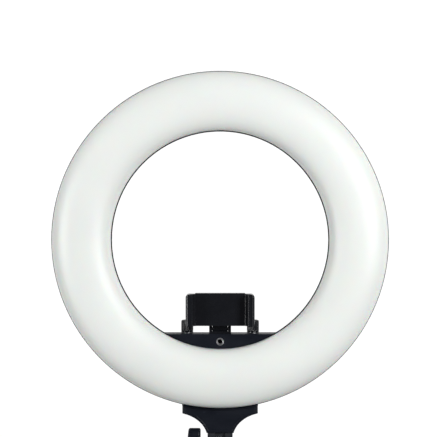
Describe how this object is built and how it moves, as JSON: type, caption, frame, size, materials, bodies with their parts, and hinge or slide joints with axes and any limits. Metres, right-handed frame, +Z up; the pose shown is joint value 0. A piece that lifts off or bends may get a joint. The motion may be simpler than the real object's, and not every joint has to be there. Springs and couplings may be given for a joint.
{
  "type": "ring light",
  "caption": "Ring light head with an opal ring diffuser, a sprung phone clamp on its control box and a tilting stand socket.",
  "frame": {"origin": "middle of the stand socket's mouth, where a 16 mm stand stud enters", "axes": "+Z up along the stand, -Y the way the lit face looks, +X to the right seen from the front"},
  "size_m": [0.36, 0.0563, 0.471],
  "materials": {
    "opal_diffuser": "satin opal",
    "black_shell": "fine-textured moulded plastic",
    "black_gloss": "smooth moulded plastic",
    "black_casting": "black powder-coated die casting",
    "black_steel": "black oxide",
    "bright_steel": "zinc plated",
    "brass": "turned",
    "rubber": "moulded",
    "fibre": "vulcanised fibre",
    "white_board": "white solder mask",
    "green_board": "green solder mask",
    "components": "moulded packages",
    "cool_led": "phosphor window",
    "warm_led": "phosphor window",
    "lead_sleeve": "flexible sleeve"
  },
  "bodies": {
    "stand": {"stand_socket": "black_casting", "tilt_fibre_washers": "fibre"},
    "head": {"diffuser": "opal_diffuser", "rear_housing": "black_shell", "front_panel": "black_shell", "tripod_thread_insert": "bright_steel", "led_board_1": "white_board", "led_board_2": "white_board", "led_board_3": "white_board", "led_board_4": "white_board", "cool_white_leds": "cool_led", "warm_white_leds": "warm_led", "led_board_screws": "bright_steel", "rear_housing_screws": "black_steel", "front_panel_screws": "black_steel", "driver_board": "green_board", "driver_components": "components", "driver_board_screws": "bright_steel", "control_board": "green_board", "brightness_potentiometer": "components", "colour_potentiometer": "components", "potentiometer_nuts": "bright_steel", "switch_housing": "black_gloss", "dc_inlet": "bright_steel", "dc_inlet_nut": "bright_steel", "wiring_harness": "lead_sleeve", "neck_bracket": "black_casting", "neck_front_cover": "black_shell", "neck_rear_cover": "black_shell", "neck_flange_screws": "bright_steel", "neck_cover_screws": "black_steel", "tilt_nut": "bright_steel", "holder_fork": "black_gloss", "holder_fork_screws": "black_steel", "holder_hinge_pin": "bright_steel"},
    "lock_pad": {"socket_lock_pad": "brass"},
    "lock_knob": {"socket_lock_screw": "bright_steel", "socket_lock_knob": "black_shell"},
    "tilt_washer": {"tilt_washer": "bright_steel"},
    "tilt_handle": {"tilt_handle": "black_shell", "tilt_stud": "bright_steel"},
    "brightness_knob": {"brightness_shaft": "bright_steel", "brightness_knob": "black_gloss"},
    "colour_knob": {"colour_shaft": "bright_steel", "colour_knob": "black_gloss"},
    "power_rocker": {"power_rocker": "black_gloss"},
    "holder_arm": {"holder_arm": "black_gloss", "swivel_friction_disc": "fibre"},
    "phone_clamp": {"swivel_screw": "black_steel", "clamp_body": "black_gloss", "clamp_back_cover": "black_gloss", "clamp_cover_screws": "black_steel", "fixed_jaw": "black_gloss", "fixed_jaw_screws": "black_steel", "fixed_jaw_pad": "rubber", "jaw_springs": "bright_steel"},
    "sliding_jaw": {"sliding_jaw": "black_gloss", "sliding_jaw_pad": "rubber", "jaw_guide_rods": "bright_steel", "jaw_crossbar": "black_gloss"}
  },
  "joints": [
    {"name": "head_tilt", "type": "hinge", "parent": "stand", "child": "head", "pos_m": [0, 0, 0.062], "axis": [1, 0, 0], "range_deg": [-90, 90]},
    {"name": "tilt_handle_draw", "type": "slide", "parent": "head", "child": "tilt_washer", "axis": [-1, 0, 0], "range_m": [0, 0.00125]},
    {"name": "tilt_handle_turn", "type": "hinge", "parent": "tilt_washer", "child": "tilt_handle", "pos_m": [-0.015, 0, 0.062], "axis": [-1, 0, 0], "range_deg": [0, 361]},
    {"name": "socket_lock_advance", "type": "slide", "parent": "stand", "child": "lock_pad", "axis": [-1, 0, 0], "range_m": [0, 0.002]},
    {"name": "socket_lock_turn", "type": "hinge", "parent": "lock_pad", "child": "lock_knob", "pos_m": [0.022, 0, 0.02], "axis": [-1, 0, 0], "range_deg": [0, 721]},
    {"name": "brightness_turn", "type": "hinge", "parent": "head", "child": "brightness_knob", "pos_m": [-0.0354, 0.002, 0.1903], "axis": [0, 0, 1], "range_deg": [-150, 150]},
    {"name": "colour_turn", "type": "hinge", "parent": "head", "child": "colour_knob", "pos_m": [0.0354, 0.002, 0.1903], "axis": [0, 0, 1], "range_deg": [-150, 150]},
    {"name": "power_rock", "type": "hinge", "parent": "head", "child": "power_rocker", "pos_m": [0.0095, 0.01, 0.1773], "axis": [0, 0, -1], "range_deg": [0, 16]},
    {"name": "holder_tilt", "type": "hinge", "parent": "head", "child": "holder_arm", "pos_m": [0, -0.007, 0.1954], "axis": [-1, 0, 0], "range_deg": [-8, 60]},
    {"name": "holder_roll", "type": "hinge", "parent": "holder_arm", "child": "phone_clamp", "pos_m": [0, -0.012, 0.2173], "axis": [0, -1, 0], "range_deg": [-90, 90]},
    {"name": "jaw_slide", "type": "slide", "parent": "phone_clamp", "child": "sliding_jaw", "axis": [1, 0, 0], "range_m": [0, 0.032], "stiffness_N_per_m": 150, "springref_m": -0.03, "deforming": ["jaw_springs"]}
  ],
  "couplings": [
    {"joint": "tilt_handle_turn", "follows": "tilt_handle_draw", "rad_per_m": 5026.5},
    {"joint": "socket_lock_turn", "follows": "socket_lock_advance", "rad_per_m": 6283.2}
  ]
}
